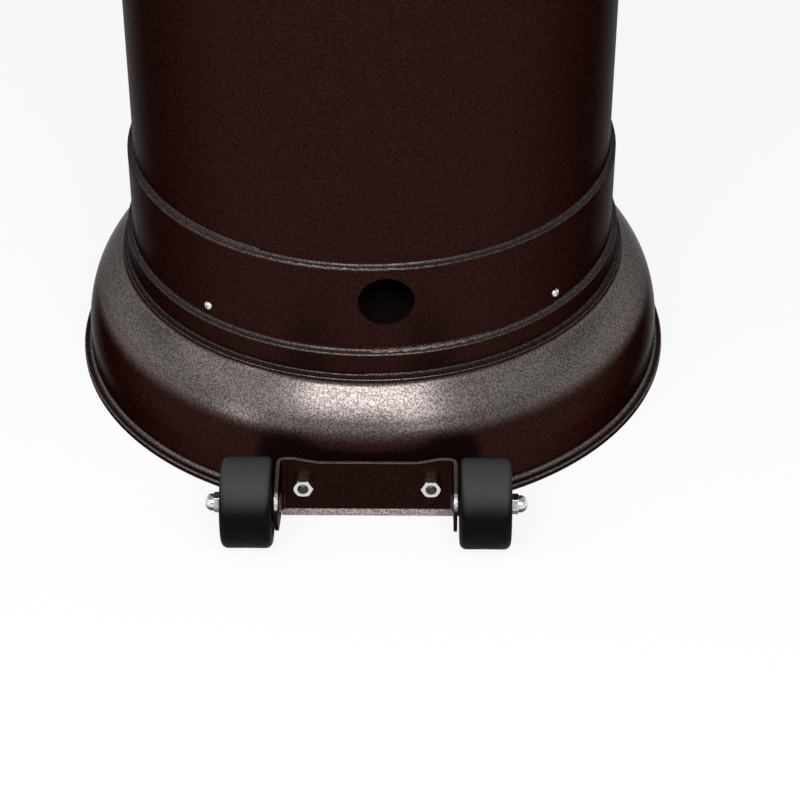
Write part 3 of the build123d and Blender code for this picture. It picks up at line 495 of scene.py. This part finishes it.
# Tank housing: one sheet rolled to a drum, swaged out in two steps at its foot and pierced
# for the hose. Four screws hold it to the dish's raised deck.
# Its enamel has the same painted shade on the walls and a weaker painted highlight on the swages' slopes.
thin_bronze = bronze_enamel("thin_bronze", leaf=1.0, highlight_level=0.5, top_highlight_share=1.0, dullness=0.34)
dress(thin_bronze, "tank_housing")

# Screws: self-tapping pan heads with a cross recess, rolled and zinc plated,
# four round the housing's foot and four round its top.
screw_clock = radians(4.2)
screw_spread = radians(43.0)
screw_foot_wall = 0.18465
screw_top_wall = 0.18185
screw_head = 0.0035
screw_head_height = 0.0024
screw_shoulder = 0.00301
screw_shoulder_height = 0.001728
screw_side_height = 0.0006
screw_face = 0.0019
screw_face_level = 0.98 * screw_head_height
screw_ease = 0.0004
screw_shank = 0.002
screw_length = 0.010
recess_reach = 0.0016
recess_width = 0.0009
recess_depth = 0.0013


def in_recess(face):
    """Whether a face of the screw's flat top lies in the cross."""
    middle = face.calc_center_median()
    near, far = sorted((abs(middle.x), abs(middle.y)))
    return middle.z > screw_face_level and near < recess_width / 2 and far < recess_reach


def pan_screw():
    """One screw that stands head up, with its seat at the origin."""
    screw = bmesh.new()
    outline = [
        (0, screw_head_height),
        (screw_face, screw_head_height),
        (screw_shoulder, screw_shoulder_height),
        (screw_head, screw_side_height),
        (screw_head, 0),
        (screw_shank, 0),
        (screw_shank, -screw_length),
        (0, -screw_length),
    ]
    line = [screw.verts.new((radius, 0, height)) for radius, height in outline]
    for pair in zip(line, line[1:]):
        screw.edges.new(pair)
    round_corners(screw, line[1:4], screw_ease, segments=3)
    spin_round(screw, (0, 0, 1), steps=32)
    bmesh.ops.remove_doubles(screw, verts=screw.verts, dist=1e-6)
    for offset in (recess_width / 2, recess_reach):
        for across in (Vector((1, 0, 0)), Vector((0, 1, 0))):
            for end in (-1, 1):
                top = [face for face in screw.faces if face.calc_center_median().z > screw_face_level]
                verts = {vert for face in top for vert in face.verts}
                edges = {edge for face in top for edge in face.edges}
                bmesh.ops.bisect_plane(
                    screw, geom=[*verts, *edges, *top], plane_co=end * offset * across, plane_no=across
                )
    cross = [face for face in screw.faces if in_recess(face)]
    sunk = bmesh.ops.extrude_face_region(screw, geom=cross)["geom"]
    recess_floor = [part for part in sunk if isinstance(part, bmesh.types.BMVert)]
    bmesh.ops.translate(screw, vec=(0, 0, -recess_depth), verts=recess_floor)
    bmesh.ops.delete(screw, geom=[face for face in cross if face.is_valid], context="FACES")
    bmesh.ops.recalc_face_normals(screw, faces=screw.faces)
    return screw


def pan_screws(node, name, wall_radius):
    """Four pan-head screws round the housing, their heads on the wall, in place of the node."""
    low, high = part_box(node)
    height = Vector((0, 0, (low.z + high.z) / 2))
    form = bmesh.new()
    for half_turn in (0, pi):
        for hand in (-1, 1):
            turn = screw_clock + half_turn + hand * screw_spread
            outward = Vector((sin(turn), -cos(turn), 0))
            lean = outward.to_track_quat("Z", "Y").to_matrix().to_4x4()
            screw = pan_screw()
            screw.transform(Matrix.Translation(outward * wall_radius + height) @ lean)
            one_screw = bpy.data.meshes.new("one_screw")
            screw.to_mesh(one_screw)
            screw.free()
            form.from_mesh(one_screw)
            bpy.data.meshes.remove(one_screw)
    stand_in(node, name, form, zinc_plate, "frame")


pan_screws("housing_screws", "housing_pan_screws", screw_foot_wall)
pan_screws("top_screws", "top_pan_screws", screw_top_wall)

# Door: a piece of the same rolled sheet that laps over the opening, on two butt hinges.
# The leaves are painted with it, the pins are plated, the pull is black plastic, and a magnet
# inside holds the door shut.
dress(thin_bronze, "tank_door", "hinge_leaf_door_lower", "hinge_leaf_door_upper")
dress(thin_bronze, "hinge_leaf_fixed_lower", "hinge_leaf_fixed_upper")
dress(zinc_plate, "hinge_pin_lower", "hinge_pin_upper")
ferrite = Finish("ferrite", {"Base Color": (0.018, 0.018, 0.019, 1)})
ferrite.feed(Roughness=ferrite.vary(ferrite.noise(scale=300.0, detail=4.0), 0.45, 0.7))
ferrite.bumps(ferrite.noise(scale=1100.0), strength=0.2, depth=0.0003)
dress(ferrite, "catch_magnet")
black_plastic = Finish("black_plastic", {"Base Color": (0.011, 0.011, 0.0115, 1)})
black_plastic.feed(Roughness=black_plastic.vary(black_plastic.noise(scale=220.0, detail=3.0), 0.30, 0.42))
black_plastic.bumps(black_plastic.noise(scale=2600.0), strength=0.12, depth=0.00012)
dress(black_plastic, "door_pull")

# Housing top and post: a spun lid with a stiffened pad, the flanged socket that the post slides
# over, the post itself, and a pressed collar that hides the bolts.
dress(hammered_bronze, "housing_top", "heater_post", "post_collar")
dress(black_steel, "top_stiffener", "post_flange")
dress(zinc_plate, "flange_bolt_1", "flange_bolt_2", "flange_bolt_3")

# Control housing: a spun bronze bowl on the post's end with the brass gas valve inside it, a black
# knob with a plated pointer let into its grip, a spark igniter with a red button, and a tilt switch.
dress(hammered_bronze, "control_housing")
valve_brass = Finish("valve_brass", {"Metallic": 1.0})
brass_tarnish = valve_brass.noise(scale=130.0, detail=4.0)
valve_brass.feed(
    Base_Color=valve_brass.blend(brass_tarnish, (0.62, 0.41, 0.15, 1), (0.42, 0.26, 0.09, 1)),
    Roughness=valve_brass.vary(brass_tarnish, 0.25, 0.42),
)
dress(valve_brass, "gas_valve", "valve_stem")
dress(black_plastic, "control_knob", "igniter_body", "tilt_switch")
pointer_width = 0.0018
pointer_length = 0.011
pointer_height = 0.0004
pointer_ease = 0.00008
pointer_start = 0.0045
knob_low, knob_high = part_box("control_knob")
knob_middle = (knob_low + knob_high) / 2
pointer_middle = (knob_middle.x, knob_high.y, knob_middle.z + pointer_start + pointer_length / 2)
pointer_form = bmesh.new()
bmesh.ops.create_cube(pointer_form, size=1.0)
bmesh.ops.scale(pointer_form, vec=(pointer_width, pointer_height, pointer_length), verts=pointer_form.verts)
ease_edges(pointer_form, sharp_edges(pointer_form), pointer_ease)
pointer_form.transform(Matrix.Translation(pointer_middle))
pointer = smooth_piece("knob_pointer", pointer_form, zinc_plate)
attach(pointer, "control_knob")
red_plastic = Finish("red_plastic", {"Base Color": (0.42, 0.012, 0.010, 1)})
red_plastic.feed(Roughness=red_plastic.vary(red_plastic.noise(scale=260.0), 0.25, 0.36))
dress(red_plastic, "igniter_button")

# Burner and emitter: stainless burner cup, pilot and plate, inside a slotted stainless screen
# that glows when lit and keeps a straw tint from the heat. The sheet is brushed round the axis.
stainless = Finish("stainless", {"Metallic": 1.0})
brushing = {"Vector": stainless.place, "Scale": (60.0, 60.0, 2400.0)}
brushed = stainless.noise(scale=1.0, detail=3.0, place=stainless.node("ShaderNodeMapping", {}, brushing))
heat = stainless.fade(stainless.noise(scale=9.0, detail=3.0), low=0.35, high=0.75)
warmed = stainless.blend(heat, (0.46, 0.45, 0.43, 1), (0.40, 0.33, 0.24, 1))
scratches = 0.25 * stainless.fade(brushed, low=0.35, high=0.65)
stainless.feed(
    Base_Color=stainless.blend(scratches, warmed, (0.30, 0.29, 0.28, 1)),
    Roughness=stainless.vary(brushed, 0.24, 0.40),
)
stainless.bumps(brushed, strength=0.06, depth=0.0002)
dress(stainless, "burner_plate", "burner", "pilot_assembly", "emitter_screen", "emitter_cap")

# Reflector: a shallow spun aluminium dish on three plated studs, with the fine rings that the
# spinning tool leaves, held down by three dome nuts.
spun_aluminium = Finish("spun_aluminium", {"Metallic": 1.0})
spun_rings = spun_aluminium.node(
    "ShaderNodeTexWave",
    {"wave_type": "RINGS", "rings_direction": "Z"},
    {"Vector": spun_aluminium.place, "Scale": 60.0, "Distortion": 1.5, "Detail": 2.0, "Detail Scale": 0.6},
    "Fac",
)
spun_cloud = spun_aluminium.noise(scale=6.0, detail=3.0)
spun_aluminium.feed(
    Base_Color=spun_aluminium.blend(spun_cloud, (0.74, 0.74, 0.75, 1), (0.62, 0.62, 0.63, 1)),
    Roughness=spun_aluminium.fade(spun_rings, low=0.0, high=1.0, start=0.26, end=0.36),
)
spun_aluminium.bumps(spun_rings, strength=0.05, depth=0.0003)
dress(spun_aluminium, "reflector")
for number in (1, 2, 3):
    dress(zinc_plate, f"reflector_stud_{number}")
    dome_nut(f"reflector_dome_nut_{number}", f"reflector_nut_{number}", (0, 0, 1))

# Studio: a round sweep of white paper that the heater stands on, turned up at its far edge,
# a wide softbox in front, small ones beside it, faint ones at the sides, and a dim ceiling.
# To the camera and in reflections the paper is mostly white light, and the rest keeps the shadow.
sweep_radius = 30.0
sweep_height = 7.5
sweep_bend = 2.0
paper_glow = 0.85
ceiling_level = 0.36
sweep_form = turned_form(
    [(0, 0, 0), (sweep_radius, 0, sweep_bend), (sweep_radius, sweep_height, 0)], steps=64
)
paper = Finish(
    "studio_paper", {"Base Color": (0.9, 0.9, 0.9, 1), "Roughness": 1.0, "Specular IOR Level": 0.0}
)
path = paper.tree.nodes.new("ShaderNodeLightPath")
seen = Shade(paper, path.outputs["Is Camera Ray"])
for ray in ("Is Glossy Ray", "Is Transmission Ray"):
    seen = paper.maths("MAXIMUM", seen, Shade(paper, path.outputs[ray]))
white_light = paper.node("ShaderNodeEmission", {}, {"Color": (1, 1, 1, 1), "Strength": 1.0})
plain_paper = Shade(paper, paper.shader.outputs[0])
paper_look = paper.node("ShaderNodeMixShader", {}, {0: paper_glow * seen, 1: plain_paper, 2: white_light})
paper.tree.links.new(paper_look.socket, paper.tree.nodes["Material Output"].inputs["Surface"])
sweep = smooth_piece("studio_sweep", sweep_form, paper)

surround = bpy.data.worlds.new("studio_surround")
bpy.context.scene.world = surround
surround.use_nodes = True
surround.node_tree.nodes["Background"].inputs["Color"].default_value = (1, 1, 1, 1)
surround.node_tree.nodes["Background"].inputs["Strength"].default_value = ceiling_level


def softbox(name, azimuth, elevation, width, height, level):
    """Rectangular light aimed at the base from an azimuth, counted from the wheel side to +X."""
    target = Vector((0, 0, 0.08))
    distance = 2.4
    turn, lift = radians(azimuth), radians(elevation)
    toward = Vector((sin(turn) * cos(lift), -cos(turn) * cos(lift), sin(lift)))
    lamp = bpy.data.lights.new(name, "AREA")
    lamp.shape = "RECTANGLE"
    lamp.size = width
    lamp.size_y = height
    lamp.energy = level * pi * width * height
    holder = bpy.data.objects.new(name, lamp)
    holder.location = target + toward * distance
    holder.rotation_euler = toward.to_track_quat("Z", "Y").to_euler()
    bpy.context.scene.collection.objects.link(holder)


softbox("softbox_front", azimuth=-3, elevation=41, width=1.8, height=0.9, level=9.0)
softbox("strip_left", azimuth=-48, elevation=10, width=0.4, height=0.35, level=7.0)
softbox("strip_right", azimuth=19, elevation=25, width=0.5, height=0.35, level=6.0)
softbox("softbox_left", azimuth=-55, elevation=30, width=2.6, height=0.9, level=1.0)
softbox("softbox_right", azimuth=50, elevation=30, width=2.4, height=0.9, level=0.5)

# Camera: a long lens on the wheel side, looking down on the base, as in the photograph.
# Its place, tilt and pan come from fitting the dish's rim, the swages and the neck.
camera_place = (0.0366, -1.5996, 1.1434)
camera_tilt = 0.6498
camera_pan = 0.0095
lens = bpy.data.cameras.new("photo_camera")
lens.lens = 110.26
lens.sensor_width = 36.0
lens.clip_end = 100.0
viewpoint = bpy.data.objects.new("photo_camera", lens)
viewpoint.location = camera_place
viewpoint.rotation_euler = (pi / 2 - camera_tilt, 0, camera_pan)
bpy.context.scene.collection.objects.link(viewpoint)
bpy.context.scene.camera = viewpoint
bpy.context.scene.view_settings.view_transform = "Standard"
